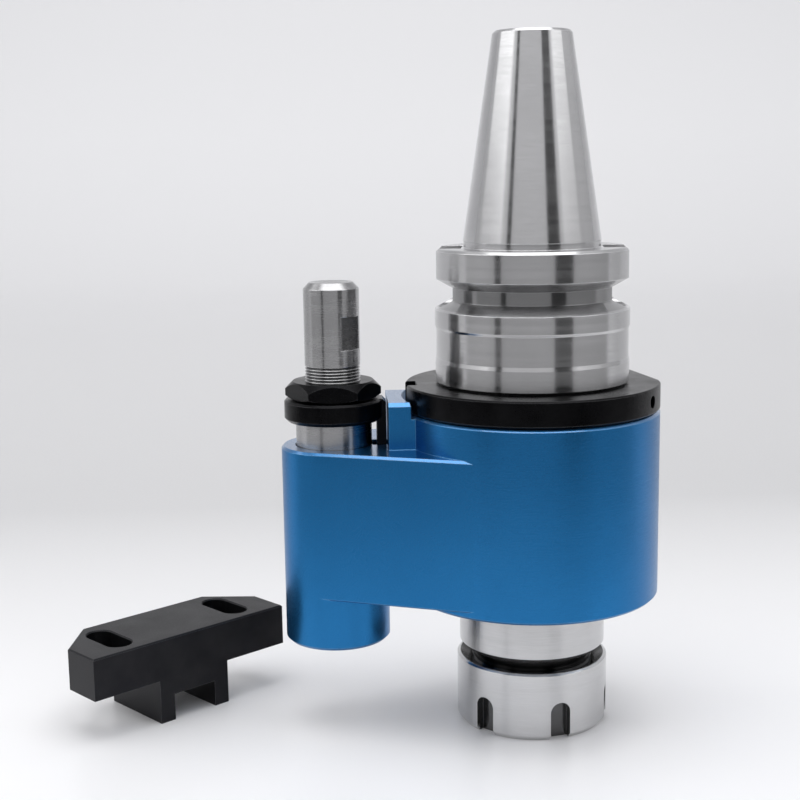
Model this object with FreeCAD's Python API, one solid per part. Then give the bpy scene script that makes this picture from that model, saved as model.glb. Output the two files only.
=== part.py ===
import FreeCAD, Part
import math
import os

os.makedirs("parts", exist_ok=True)

# Rotary coolant holder: a steep-taper spindle with a collet nose turns in a fixed
# housing whose side arm carries a sprung stop pin. A separate stop block stands beside it.
# Millimetres, +Z up the spindle axis. The origin is the centre of the nose face.

# Taper shank, 7/24 taper of size 40 with its flange
GAUGE_TO_NOSE = 160.0
GAUGE_D = 44.45
TAPER_LENGTH = 65.4
TAPER_RATE = 7.0 / 24.0
RELIEF_H = 2.0
RELIEF_D = 44.2
FLANGE_D = 63.0
GROOVE_DEPTH = 16.6
GROOVE_OPENING = 10.0
GROOVE_ROOT_D = 53.0
GROOVE_SIDE_ANGLE = 30.0
FLANGE_H = 25.0
DRIVE_SLOT_W = 16.1
DRIVE_SLOT_FLOOR = 22.6
DRIVE_SLOT_AZIMUTH = -8.1
FLANGE_CHAMFER = 0.8
STUD_PILOT_D = 17.0
STUD_PILOT_DEPTH = 7.0
STUD_THREAD_D = 13.835
STUD_THREAD_LENGTH = 36.0
STUD_MOUTH_CHAMFER = 1.0

# Steel neck between the flange and the index ring
NECK_D = 62.2
COLLAR_D = 62.8
NECK_H = 10.0
NECK_STEP_H = 1.3
COLLAR_H = 7.4
COLLAR_CHAMFER = 0.8

# Index ring and its set screws
RING_SEAT_D = 60.0
RING_T = 8.3
RING_FLAT_AZIMUTH = 10.5
RING_FLAT_HALF_ANGLE = 19.0
RING_NOTCH_W = 8.6
RING_NOTCH_DEPTH = 3.5
RING_CHAMFER = 0.5
RING_SCREW_D = 4.2
RING_SCREW_L = 8.0
RING_SCREW_COUNT = 2
RING_SCREW_AZIMUTH = -32.5
RING_SCREW_SOCKET = 2.5
RING_TO_HOUSING_GAP = 0.4

# Housing, its bearings and seals
HOUSING_D = 83.0
BEARING_BORE = 50.0
BEARING_OD = 72.0
BEARING_W = 12.0
BALL_D = 6.0
BALL_COUNT = 18
BEARING_SHOULDER = 3.5
RACE_CLEARANCE = 0.05
POCKET_CLEARANCE = 0.1
CAGE_T = 2.0
CAGE_H = 7.8
HOUSING_LIP_H = 4.1
LIP_SHAFT_D = 57.6
LIP_CLEARANCE = 0.6
TOP_SEAL_H = 2.2
TOP_SEAL_DEPTH = 3.1
CARRIER_H = 24.0
SLEEVE_OD = 56.0
SHAFT_SEAL_H = 6.0
SHAFT_SEAL_OD = 66.0
SHAFT_SEAL_INSET = 1.0
SHAFT_SEAL_WALL = 1.2
CHAMBER_D = 60.0
CHANNEL_H = 6.0
CHANNEL_DEPTH = 1.5
O_RING_W = 2.6
O_RING_DEPTH = 1.8
O_RING_OFFSET = 8.0
COOLANT_HOLE_D = 4.0
CARRIER_HOLE_COUNT = 6
SLEEVE_HOLE_COUNT = 4
SLEEVE_HOLE_AZIMUTH = 45.0
RUNNING_CLEARANCE = 0.05
LOCK_NUT_H = 4.5
LOCK_NUT_OD = 60.0
LOCK_NUT_SLOT_W = 5.0
LOCK_NUT_SLOT_DEPTH = 2.0
LOCK_NUT_SLOTS = 4
CAP_GAP = 0.5
CAP_H = 4.0
CAP_D = 74.0
CAP_SKIRT_T = 3.2
CAP_BORE = 58.0
CAP_LIP = 1.0
CAP_HOLE_D = 4.0
CAP_HOLE_PCD = 66.0
CAP_HOLE_DEPTH = 3.0
CAP_HOLES = 4
CAP_HOLE_AZIMUTH = 45.0
DIRT_SEAL_H = 3.4
EDGE_CHAMFER = 0.8

# Side arm, its raised wall and the pin boss
ARM_CENTRES = 65.0
BOSS_D = 34.5
ARM_INSET = 1.0
ARM_BOTTOM_STEP = 2.3
DECK_DROP = 10.6
DECK_CHAMFER = 0.8
ARM_FOOT_CHAMFER = 0.5
BOSS_DROP = 17.1
BOSS_CHAMFER = 1.0
WALL_RISE = 4.5
WALL_W = 28.0
WALL_FACE_FROM_PIN = 17.4
WALL_BEVEL = 1.2
WALL_RING_GAP = 1.3
PORT_D = 8.6
PORT_X = -41.5
PORT_LENGTH = 24.5
PORT_FACE_D = 16.0
PORT_CHANNEL_D = 5.0

# Stop pin with its nut, key collar, bush, spring and plug
PIN_TOP_ABOVE_DECK = 52.8
PIN_D = 18.0
PIN_CHAMFER = 2.0
PIN_CHAMFER_R = 1.9
PIN_FLATS = 16.0
PIN_FLATS_AZIMUTH = -44.5
PIN_FLATS_DROP = 10.8
PIN_FLATS_H = 10.6
PIN_THREAD_DROP = 26.8
PIN_THREAD_PITCH = 1.0
PIN_THREAD_DEPTH = 0.5
PIN_THREAD_RIDGES = 10
HEX_AF = 27.0
HEX_H = 6.0
HEX_TOP_CHAMFER = 2.5
HEX_FOOT_CHAMFER = 1.3
HEX_AZIMUTH = -0.5
KEY_COLLAR_D = 32.0
KEY_COLLAR_H = 7.0
KEY_COLLAR_CHAMFER = 1.2
PISTON_D = 24.8
PISTON_SHOULDER_ABOVE_DECK = 8.0
KEY_W = 8.0
KEY_INNER = 13.9
KEY_T = 3.1
KEY_IN_SLOT = 6.0
KEY_CLEARANCE = 0.4
PIN_TRAVEL = 7.5
SLOT_SPARE = 2.0
BORE_CLEARANCE = 0.35
BUSH_H = 20.0
BUSH_T = 2.15
RETAINING_RING_H = 1.5
RETAINING_RING_RADIAL = 1.5
RETAINING_GROOVE_DEPTH = 1.2
PIN_TAIL = 2.5
PIN_SEAL_W = 2.4
PIN_SEAL_DEPTH = 1.5
SPRING_WIRE_D = 1.8
SPRING_OD = 16.4
SPRING_TURNS = 6.5
SPRING_BORE_CLEARANCE = 0.4
SPRING_BORE_DEPTH = 16.0
PLUG_D = 30.0
PLUG_H = 8.0
PLUG_INSET = 0.5
PLUG_SOCKET_AF = 8.0
PLUG_SOCKET_DEPTH = 5.0

# Spindle nose, collet and nut
NOSE_D = 48.2
NOSE_SHOULDER_Z = 27.3
NOSE_CHAMFER = 1.9
THREAD_RELIEF_D = 37.8
THREAD_RELIEF_TOP_Z = 25.4
THREAD_D = 40.0
THREAD_TOP_Z = 22.0
THREAD_PITCH = 1.5
THREAD_DEPTH = 0.7
NOSE_FACE_Z = 10.5
COLLET_L = 40.0
COLLET_D = 33.0
COLLET_FACE_D = 27.2
COLLET_FRONT_ANGLE = 30.0
COLLET_BACK_ANGLE = 8.0
COLLET_RIM_H = 1.5
COLLET_GROOVE_D = 29.4
COLLET_GROOVE_H = 2.2
COLLET_BORE = 16.0
COLLET_SLITS = 8
COLLET_SLIT_W = 0.8
COLLET_SLIT_STOP = 5.0
SEAT_CLEARANCE = 0.05
NUT_D = 50.0
NUT_H = 22.5
NUT_FOOT_CHAMFER_H = 1.6
NUT_FOOT_CHAMFER_R = 1.2
NUT_RIM_CHAMFER = 0.6
NUT_FUNNEL_D = 48.0
NUT_MOUTH_D = 31.0
NUT_LIP_H = 1.5
NUT_POCKET_D = 36.9
NUT_POCKET_TOP_Z = 8.4
NUT_RELIEF_D = 41.2
NUT_RELIEF_TOP_Z = 10.0
NUT_THREAD_CLEARANCE = 0.1
NUT_SLOTS = 6
NUT_SLOT_W = 6.8
NUT_SLOT_DEPTH = 3.4
NUT_SLOT_H = 12.6
NUT_SLOT_AZIMUTH = -135.7
PRESSURE_RING_D = 36.8
PRESSURE_RING_TOP_Z = 8.2
PRESSURE_RING_LIP_H = 1.4
PRESSURE_RING_OFFSET = 0.6
PRESSURE_RING_EYE = 1.0
BACKUP_SCREW_D = 22.0
BACKUP_SCREW_L = 10.0
BACKUP_SCREW_GAP = 2.0
BACKUP_SOCKET_AF = 12.0
BACKUP_BORE = 8.0
COOLANT_BORE_D = 12.0

# Stop block standing beside the holder
BLOCK_L = 78.0
BLOCK_W = 29.5
BLOCK_T = 14.2
BLOCK_CORNER_CUT = 14.0
BLOCK_STEM_L = 28.0
BLOCK_STEM_H = 15.0
BLOCK_FORK_W = 16.6
BLOCK_FORK_H = 9.0
BLOCK_SLOT_W = 9.0
BLOCK_SLOT_L = 20.5
BLOCK_SLOT_SPACING = 48.0
BLOCK_SLOT_FROM_FRONT = 14.3
BLOCK_SLOT_RIM = 0.4
BLOCK_CHAMFER = 0.5
BLOCK_CORNER_X = -144.0
BLOCK_CORNER_Y = -16.8
BLOCK_ANGLE = 41.1

# How far a cutting body runs past the face it cuts
OVERRUN = 1.0

# Heights worked out from the sizes above
GAUGE_Z = GAUGE_TO_NOSE
FLANGE_TOP_Z = GAUGE_Z - RELIEF_H
FLANGE_END_Z = FLANGE_TOP_Z - FLANGE_H
GROOVE_Z = GAUGE_Z - GROOVE_DEPTH
NECK_END_Z = FLANGE_END_Z - NECK_H
RING_TOP_Z = NECK_END_Z - NECK_STEP_H - COLLAR_H
RING_BOTTOM_Z = RING_TOP_Z - RING_T
HOUSING_TOP_Z = RING_BOTTOM_Z - RING_TO_HOUSING_GAP
UPPER_BEARING_Z = HOUSING_TOP_Z - HOUSING_LIP_H - BEARING_W
BEARING_SEAT_TOP_Z = UPPER_BEARING_Z + BEARING_W
TOP_SEAL_Z = BEARING_SEAT_TOP_Z + (HOUSING_LIP_H - TOP_SEAL_H) / 2
CARRIER_Z = UPPER_BEARING_Z - CARRIER_H
LOWER_BEARING_Z = CARRIER_Z - BEARING_W
LOCK_NUT_Z = LOWER_BEARING_Z - LOCK_NUT_H
CAP_TOP_Z = LOCK_NUT_Z - CAP_GAP
HOUSING_BOTTOM_Z = CAP_TOP_Z - CAP_H
DIRT_SEAL_Z = HOUSING_BOTTOM_Z + (CAP_H - DIRT_SEAL_H) / 2
COOLANT_Z = CARRIER_Z + CARRIER_H / 2
DECK_Z = HOUSING_TOP_Z - DECK_DROP
ARM_BOTTOM_Z = HOUSING_BOTTOM_Z + ARM_BOTTOM_STEP
BOSS_BOTTOM_Z = ARM_BOTTOM_Z - BOSS_DROP
PIN_TOP_Z = DECK_Z + PIN_TOP_ABOVE_DECK
PISTON_TOP_Z = DECK_Z + PISTON_SHOULDER_ABOVE_DECK
KEY_COLLAR_TOP_Z = PISTON_TOP_Z + KEY_COLLAR_H
KEY_BOTTOM_Z = DECK_Z - KEY_IN_SLOT
KEY_SLOT_BOTTOM_Z = KEY_BOTTOM_Z - PIN_TRAVEL - SLOT_SPARE
BUSH_TOP_Z = KEY_SLOT_BOTTOM_Z - SLOT_SPARE
BUSH_BOTTOM_Z = BUSH_TOP_Z - BUSH_H
RETAINING_RING_Z = BUSH_BOTTOM_Z - RETAINING_RING_H
PIN_BOTTOM_Z = RETAINING_RING_Z - PIN_TAIL
SPRING_TOP_Z = PIN_BOTTOM_Z + SPRING_BORE_DEPTH
PLUG_BOTTOM_Z = BOSS_BOTTOM_Z + PLUG_INSET
PLUG_TOP_Z = PLUG_BOTTOM_Z + PLUG_H

# Radii worked out from the sizes above
HOUSING_R = HOUSING_D / 2
PITCH_R = (BEARING_BORE + BEARING_OD) / 4
BALL_R = BALL_D / 2
PISTON_R = PISTON_D / 2
BUSH_R = PISTON_R + RUNNING_CLEARANCE + BUSH_T
WALL_FACE_X = -ARM_CENTRES + WALL_FACE_FROM_PIN
UP = FreeCAD.Vector(0, 0, 1)
ALONG_X = FreeCAD.Vector(1, 0, 0)
ALONG_Y = FreeCAD.Vector(0, 1, 0)


def vec(x, y, z):
    return FreeCAD.Vector(x, y, z)


def turned(points, x=0.0, y=0.0):
    """Solid of revolution about a vertical axis from (radius, height) corners."""
    corners = [vec(x + r, y, z) for r, z in points]
    face = Part.Face(Part.makePolygon(corners + corners[:1]))
    return face.revolve(vec(x, y, 0), UP, 360)


def cylinder(r, z0, z1, x=0.0, y=0.0):
    return Part.makeCylinder(r, z1 - z0, vec(x, y, z0))


def ring(r_in, r_out, z0, z1, x=0.0, y=0.0):
    return cylinder(r_out, z0, z1, x, y).cut(cylinder(r_in, z0, z1, x, y))


def block(x0, x1, y0, y1, z0, z1):
    return Part.makeBox(x1 - x0, y1 - y0, z1 - z0, vec(x0, y0, z0))


def hexagon(across_flats, z0, z1, x=0.0, y=0.0, azimuth=0.0):
    corner_r = across_flats / math.sqrt(3)
    corners = []
    for k in range(6):
        a = math.radians(azimuth + 60 * k)
        corners.append(vec(x + corner_r * math.cos(a), y + corner_r * math.sin(a), z0))
    face = Part.Face(Part.makePolygon(corners + corners[:1]))
    return face.extrude(vec(0, 0, z1 - z0))


def spun(shape, angle, x=0.0, y=0.0):
    copy = shape.copy()
    copy.rotate(vec(x, y, 0), UP, angle)
    return copy


def spun_copies(shape, count, first=0.0, x=0.0, y=0.0):
    return [spun(shape, first + 360.0 * k / count, x, y) for k in range(count)]


def radial_hole(r, r_in, r_out, z):
    return Part.makeCylinder(r, r_out - r_in, vec(r_in, 0, z), ALONG_X)


def level_edges(shape, z):
    return [e for e in shape.Edges if all(abs(v.Z - z) < 1e-6 for v in e.Vertexes)]


def save(node, *solids):
    shape = solids[0] if len(solids) == 1 else Part.makeCompound(list(solids))
    if len(shape.Solids) == 1:
        shape = shape.Solids[0]
    shape.exportStep(f"parts/{node}.step")


def seat_r(z):
    """Radius of the collet's back cone at height z."""
    return COLLET_D / 2 - (z - collet_cone_z()) * math.tan(math.radians(COLLET_BACK_ANGLE))


def collet_rim_z():
    drop = (COLLET_D - COLLET_FACE_D) / 2
    return drop / math.tan(math.radians(COLLET_FRONT_ANGLE))


def collet_cone_z():
    return collet_rim_z() + COLLET_RIM_H + COLLET_GROOVE_H


def thread_ridges(r, depth, pitch, z_top, count):
    """Saw-tooth corners of a threaded stretch, from the top down."""
    points = []
    for k in range(count):
        points.append((r, z_top - k * pitch))
        points.append((r - depth, z_top - (k + 0.5) * pitch))
    points.append((r, z_top - count * pitch))
    return points


# Spindle group

def taper_shank():
    small_r = (GAUGE_D - TAPER_LENGTH * TAPER_RATE) / 2
    top = GAUGE_Z + TAPER_LENGTH
    flange_r = FLANGE_D / 2
    root_r = GROOVE_ROOT_D / 2
    side = (flange_r - root_r) * math.tan(math.radians(GROOVE_SIDE_ANGLE))
    open_half = GROOVE_OPENING / 2
    c = FLANGE_CHAMFER
    nose_r = NOSE_D / 2
    ridge_count = int((THREAD_TOP_Z - NOSE_FACE_Z) / THREAD_PITCH)
    ridge_end = THREAD_TOP_Z - ridge_count * THREAD_PITCH
    root_thread_r = THREAD_D / 2 - THREAD_DEPTH
    outside = [
        (0, top), (small_r - c, top), (small_r, top - c), (GAUGE_D / 2, GAUGE_Z),
        (RELIEF_D / 2, GAUGE_Z), (RELIEF_D / 2, FLANGE_TOP_Z),
        (flange_r - c, FLANGE_TOP_Z), (flange_r, FLANGE_TOP_Z - c),
        (flange_r, GROOVE_Z + open_half), (root_r, GROOVE_Z + open_half - side),
        (root_r, GROOVE_Z - open_half + side), (flange_r, GROOVE_Z - open_half),
        (flange_r, FLANGE_END_Z), (NECK_D / 2, FLANGE_END_Z - c), (NECK_D / 2, NECK_END_Z),
        (COLLAR_D / 2, NECK_END_Z - NECK_STEP_H), (COLLAR_D / 2, RING_TOP_Z + COLLAR_CHAMFER),
        (COLLAR_D / 2 - COLLAR_CHAMFER, RING_TOP_Z), (RING_SEAT_D / 2, RING_TOP_Z),
        (RING_SEAT_D / 2, RING_BOTTOM_Z), (LIP_SHAFT_D / 2, RING_BOTTOM_Z),
        (LIP_SHAFT_D / 2, BEARING_SEAT_TOP_Z), (BEARING_BORE / 2, BEARING_SEAT_TOP_Z),
        (BEARING_BORE / 2, LOCK_NUT_Z), (nose_r, LOCK_NUT_Z), (nose_r, NOSE_SHOULDER_Z),
        (nose_r - NOSE_CHAMFER, THREAD_RELIEF_TOP_Z), (THREAD_RELIEF_D / 2, THREAD_RELIEF_TOP_Z),
        (THREAD_RELIEF_D / 2, THREAD_TOP_Z),
    ]
    outside += thread_ridges(THREAD_D / 2, THREAD_DEPTH, THREAD_PITCH, THREAD_TOP_Z, ridge_count)
    outside += [(root_thread_r, ridge_end - THREAD_PITCH / 4), (root_thread_r, NOSE_FACE_Z), (0, NOSE_FACE_Z)]
    body = turned(outside)
    for drive in spun_copies(drive_slot(), 2, DRIVE_SLOT_AZIMUTH):
        body = body.cut(drive)
    body = body.cut(stud_hole(top)).cut(nose_bore())
    hole = radial_hole(COOLANT_HOLE_D / 2, 0, BEARING_BORE / 2 + OVERRUN, COOLANT_Z)
    for cutter in spun_copies(hole, SLEEVE_HOLE_COUNT, SLEEVE_HOLE_AZIMUTH):
        body = body.cut(cutter)
    return body


def drive_slot():
    z0 = GROOVE_Z - GROOVE_OPENING / 2
    end_r = DRIVE_SLOT_W / 2
    reach = FLANGE_D
    slot = block(DRIVE_SLOT_FLOOR, reach, -end_r, end_r, z0 + end_r / 2, FLANGE_TOP_Z + RELIEF_H / 4)
    foot = block(DRIVE_SLOT_FLOOR, reach, -end_r / 2, end_r / 2, z0, z0 + end_r / 2)
    corner = Part.makeCylinder(end_r / 2, reach - DRIVE_SLOT_FLOOR,
                               vec(DRIVE_SLOT_FLOOR, end_r / 2, z0 + end_r / 2), ALONG_X)
    return slot.fuse(foot).fuse(corner).fuse(corner.mirror(vec(0, 0, 0), ALONG_Y))


def stud_hole(top):
    c = STUD_MOUTH_CHAMFER
    pilot_r = STUD_PILOT_D / 2
    thread_r = STUD_THREAD_D / 2
    pilot_z = top - STUD_PILOT_DEPTH
    end_z = pilot_z - STUD_THREAD_LENGTH
    return turned([(0, top), (pilot_r + c, top), (pilot_r, top - c), (pilot_r, pilot_z),
                   (thread_r, pilot_z), (thread_r, end_z), (0, end_z - thread_r / 2)])


def nose_bore():
    seat_end = COLLET_L + BACKUP_SCREW_GAP / 2
    screw_top = COLLET_L + BACKUP_SCREW_GAP + BACKUP_SCREW_L
    screw_r = BACKUP_SCREW_D / 2
    bore_r = COOLANT_BORE_D / 2
    end_z = COOLANT_Z + COOLANT_HOLE_D / 2
    return turned([(0, NOSE_FACE_Z), (seat_r(NOSE_FACE_Z) + SEAT_CLEARANCE, NOSE_FACE_Z),
                   (seat_r(seat_end) + SEAT_CLEARANCE, seat_end), (screw_r, seat_end),
                   (screw_r, screw_top + SLOT_SPARE), (bore_r, screw_top + SLOT_SPARE),
                   (bore_r, end_z), (0, end_z + bore_r / 2)])


def index_ring():
    r = HOUSING_R
    c = RING_CHAMFER
    seat = RING_SEAT_D / 2
    body = turned([(seat, RING_BOTTOM_Z), (r - c, RING_BOTTOM_Z), (r, RING_BOTTOM_Z + c),
                   (r, RING_TOP_Z - c), (r - c, RING_TOP_Z), (seat, RING_TOP_Z)])
    flat_x = r * math.cos(math.radians(RING_FLAT_HALF_ANGLE))
    flat = block(flat_x, 2 * r, -r, r, RING_BOTTOM_Z, RING_TOP_Z)
    half = RING_NOTCH_W / 2
    notch = block(-r - c, -r + RING_NOTCH_DEPTH, -half, half, RING_BOTTOM_Z, RING_TOP_Z)
    body = body.cut(spun(flat, RING_FLAT_AZIMUTH)).cut(notch)
    mid = (RING_BOTTOM_Z + RING_TOP_Z) / 2
    hole = radial_hole(RING_SCREW_D / 2, seat - OVERRUN, r + OVERRUN, mid)
    for cutter in spun_copies(hole, RING_SCREW_COUNT, RING_SCREW_AZIMUTH):
        body = body.cut(cutter)
    return body


def ring_set_screws():
    mid = (RING_BOTTOM_Z + RING_TOP_Z) / 2
    seat = RING_SEAT_D / 2
    end = seat + RING_SCREW_L
    screw = radial_hole(RING_SCREW_D / 2, seat, end, mid)
    socket = hexagon(RING_SCREW_SOCKET, 0, RING_SCREW_SOCKET)
    socket.rotate(vec(0, 0, 0), ALONG_Y, 90)
    socket.translate(vec(end - RING_SCREW_SOCKET, 0, mid))
    return spun_copies(screw.cut(socket), RING_SCREW_COUNT, RING_SCREW_AZIMUTH)


def race_cutter(z):
    return Part.makeTorus(PITCH_R, BALL_R + RACE_CLEARANCE, vec(0, 0, z + BEARING_W / 2), UP)


def bearing_inner_ring(z):
    r = BEARING_BORE / 2
    return ring(r, r + BEARING_SHOULDER, z, z + BEARING_W).cut(race_cutter(z))


def bearing_outer_ring(z):
    r = BEARING_OD / 2
    return ring(r - BEARING_SHOULDER, r, z, z + BEARING_W).cut(race_cutter(z))


def bearing_ball(z):
    return Part.makeSphere(BALL_R, vec(PITCH_R, 0, z + BEARING_W / 2))


def bearing_cage(z):
    mid = z + BEARING_W / 2
    body = ring(PITCH_R - CAGE_T / 2, PITCH_R + CAGE_T / 2, mid - CAGE_H / 2, mid + CAGE_H / 2)
    pocket = radial_hole(BALL_R + POCKET_CLEARANCE, PITCH_R - CAGE_T, PITCH_R + CAGE_T, mid)
    return body.cut(Part.makeCompound(spun_copies(pocket, BALL_COUNT)))


def seal_sleeve():
    body = ring(BEARING_BORE / 2, SLEEVE_OD / 2, CARRIER_Z, CARRIER_Z + CARRIER_H)
    hole = radial_hole(COOLANT_HOLE_D / 2, 0, SLEEVE_OD, COOLANT_Z)
    return body.cut(Part.makeCompound(spun_copies(hole, SLEEVE_HOLE_COUNT, SLEEVE_HOLE_AZIMUTH)))


def bearing_lock_nut():
    r = LOCK_NUT_OD / 2
    body = ring(BEARING_BORE / 2, r, LOCK_NUT_Z, LOWER_BEARING_Z)
    half = LOCK_NUT_SLOT_W / 2
    slot = block(r - LOCK_NUT_SLOT_DEPTH, r + OVERRUN, -half, half, LOCK_NUT_Z, LOWER_BEARING_Z)
    return body.cut(Part.makeCompound(spun_copies(slot, LOCK_NUT_SLOTS)))


def backup_screw():
    z0 = COLLET_L + BACKUP_SCREW_GAP
    body = cylinder(BACKUP_SCREW_D / 2, z0, z0 + BACKUP_SCREW_L)
    socket = hexagon(BACKUP_SOCKET_AF, z0, z0 + BACKUP_SCREW_L / 2)
    return body.cut(socket).cut(cylinder(BACKUP_BORE / 2, z0, z0 + BACKUP_SCREW_L))


# Collet and nut

def collet():
    rim_z = collet_rim_z()
    rim_top = rim_z + COLLET_RIM_H
    cone_z = collet_cone_z()
    r = COLLET_D / 2
    groove_r = COLLET_GROOVE_D / 2
    body = turned([(COLLET_BORE / 2, 0), (COLLET_FACE_D / 2, 0), (r, rim_z), (r, rim_top),
                   (groove_r, rim_top), (groove_r, cone_z), (seat_r(cone_z), cone_z),
                   (seat_r(COLLET_L), COLLET_L), (COLLET_BORE / 2, COLLET_L)])
    half = COLLET_SLIT_W / 2
    front = block(0, COLLET_D, -half, half, 0, COLLET_L - COLLET_SLIT_STOP)
    back = block(0, COLLET_D, -half, half, COLLET_SLIT_STOP + rim_top, COLLET_L)
    slits = spun_copies(front, COLLET_SLITS) + spun_copies(back, COLLET_SLITS, 180.0 / COLLET_SLITS)
    return body.cut(Part.makeCompound(slits))


def pressure_ring():
    rim_z = collet_rim_z()
    r = PRESSURE_RING_D / 2
    lip_z = PRESSURE_RING_TOP_Z - PRESSURE_RING_LIP_H
    slope = math.tan(math.radians(COLLET_FRONT_ANGLE))
    low_r = COLLET_FACE_D / 2 + NUT_LIP_H * slope + SEAT_CLEARANCE
    rim_r = COLLET_D / 2 + SEAT_CLEARANCE
    eye_r = rim_r - PRESSURE_RING_EYE
    body = turned([(low_r, NUT_LIP_H), (r, NUT_LIP_H), (r, PRESSURE_RING_TOP_Z),
                   (eye_r, PRESSURE_RING_TOP_Z), (eye_r, lip_z), (rim_r, lip_z), (rim_r, rim_z)])
    eye = cylinder(rim_r - PRESSURE_RING_OFFSET / 2, lip_z, PRESSURE_RING_TOP_Z, PRESSURE_RING_OFFSET)
    return body.cut(eye)


def collet_nut():
    r = NUT_D / 2
    thread_r = THREAD_D / 2 + NUT_THREAD_CLEARANCE
    c = NUT_RIM_CHAMFER
    funnel_r = NUT_FUNNEL_D / 2
    relief_r = NUT_RELIEF_D / 2
    pocket_r = NUT_POCKET_D / 2
    mouth_r = NUT_MOUTH_D / 2
    body = turned([(mouth_r, 0), (r - NUT_FOOT_CHAMFER_R, 0), (r, NUT_FOOT_CHAMFER_H), (r, NUT_H - c),
                   (r - c, NUT_H), (funnel_r, NUT_H), (thread_r, NUT_H + thread_r - funnel_r),
                   (thread_r, NUT_RELIEF_TOP_Z), (relief_r, NUT_RELIEF_TOP_Z), (relief_r, NUT_POCKET_TOP_Z),
                   (pocket_r, NUT_POCKET_TOP_Z), (pocket_r, NUT_LIP_H), (mouth_r, NUT_LIP_H)])
    half = NUT_SLOT_W / 2
    bottom = r - NUT_SLOT_DEPTH
    end = r + OVERRUN
    slot = block(bottom, end, -half, half, -OVERRUN, NUT_SLOT_H - half)
    slot = slot.fuse(Part.makeCylinder(half, end - bottom, vec(bottom, 0, NUT_SLOT_H - half), ALONG_X))
    return body.cut(Part.makeCompound(spun_copies(slot, NUT_SLOTS, NUT_SLOT_AZIMUTH)))


# Housing group

def arm_outline(r_main, r_boss, z):
    """Face around the main circle and the boss circle, joined by tangent sides."""
    lean = math.asin((r_main - r_boss) / ARM_CENTRES)
    nx = -math.sin(lean)
    ny = math.cos(lean)
    cx = -ARM_CENTRES
    main_back = vec(r_main * nx, r_main * ny, z)
    main_front = vec(r_main * nx, -r_main * ny, z)
    boss_back = vec(cx + r_boss * nx, r_boss * ny, z)
    boss_front = vec(cx + r_boss * nx, -r_boss * ny, z)
    edges = [
        Part.makeLine(main_back, boss_back),
        Part.Arc(boss_back, vec(cx - r_boss, 0, z), boss_front).toShape(),
        Part.makeLine(boss_front, main_front),
        Part.Arc(main_front, vec(r_main, 0, z), main_back).toShape(),
    ]
    return Part.Face(Part.Wire(edges))


def housing_body():
    c = EDGE_CHAMFER
    boss_r = BOSS_D / 2
    main = turned([(0, HOUSING_BOTTOM_Z), (HOUSING_R - c, HOUSING_BOTTOM_Z),
                   (HOUSING_R, HOUSING_BOTTOM_Z + c), (HOUSING_R, HOUSING_TOP_Z - c),
                   (HOUSING_R - c, HOUSING_TOP_Z), (0, HOUSING_TOP_Z)])
    arm = arm_outline(HOUSING_R - ARM_INSET, boss_r, ARM_BOTTOM_Z).extrude(vec(0, 0, DECK_Z - ARM_BOTTOM_Z))
    arm = arm.makeChamfer(DECK_CHAMFER, level_edges(arm, DECK_Z))
    arm = arm.makeChamfer(ARM_FOOT_CHAMFER, level_edges(arm, ARM_BOTTOM_Z))
    b = BOSS_CHAMFER
    boss = turned([(0, BOSS_BOTTOM_Z), (boss_r - b, BOSS_BOTTOM_Z), (boss_r, BOSS_BOTTOM_Z + b),
                   (boss_r, DECK_Z - DECK_CHAMFER), (0, DECK_Z - DECK_CHAMFER)], -ARM_CENTRES)
    return main.fuse([arm, boss, raised_wall()]).removeSplitter()


def raised_wall():
    """Wall between the pin and the main body, bevelled at its front and back."""
    top = HOUSING_TOP_Z + WALL_RISE
    half = WALL_W / 2
    bevel = WALL_BEVEL
    outline = [(-half, ARM_BOTTOM_Z + OVERRUN), (-half, top - bevel), (bevel - half, top),
               (half - bevel, top), (half, top - bevel), (half, ARM_BOTTOM_Z + OVERRUN)]
    side = [vec(WALL_FACE_X, y, z) for y, z in outline]
    face = Part.Face(Part.makePolygon(side + side[:1]))
    wall = face.extrude(vec(-WALL_FACE_X - HOUSING_R / 2, 0, 0))
    return wall.cut(cylinder(HOUSING_R + WALL_RING_GAP, HOUSING_TOP_Z - EDGE_CHAMFER, top))


def housing_bore():
    r = BEARING_OD / 2
    cap_r = CAP_D / 2
    lip_r = LIP_SHAFT_D / 2 + LIP_CLEARANCE
    seal_r = lip_r + TOP_SEAL_DEPTH
    seal_top = TOP_SEAL_Z + TOP_SEAL_H
    return turned([(0, HOUSING_BOTTOM_Z), (cap_r, HOUSING_BOTTOM_Z), (cap_r, CAP_TOP_Z), (r, CAP_TOP_Z),
                   (r, BEARING_SEAT_TOP_Z), (lip_r, BEARING_SEAT_TOP_Z), (lip_r, TOP_SEAL_Z),
                   (seal_r, TOP_SEAL_Z), (seal_r, seal_top), (lip_r, seal_top),
                   (lip_r, HOUSING_TOP_Z), (0, HOUSING_TOP_Z)])


def pin_bore():
    loose_r = PISTON_R + BORE_CLEARANCE
    plug_r = PLUG_D / 2
    return turned([(0, BOSS_BOTTOM_Z), (plug_r, BOSS_BOTTOM_Z), (plug_r, PLUG_TOP_Z),
                   (BUSH_R, PLUG_TOP_Z), (BUSH_R, BUSH_TOP_Z), (loose_r, BUSH_TOP_Z),
                   (loose_r, DECK_Z), (0, DECK_Z)], -ARM_CENTRES)


def key_slot():
    half = KEY_W / 2 + KEY_CLEARANCE
    return block(-ARM_CENTRES + PISTON_R, WALL_FACE_X, -half, half, KEY_SLOT_BOTTOM_Z, DECK_Z)


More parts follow.
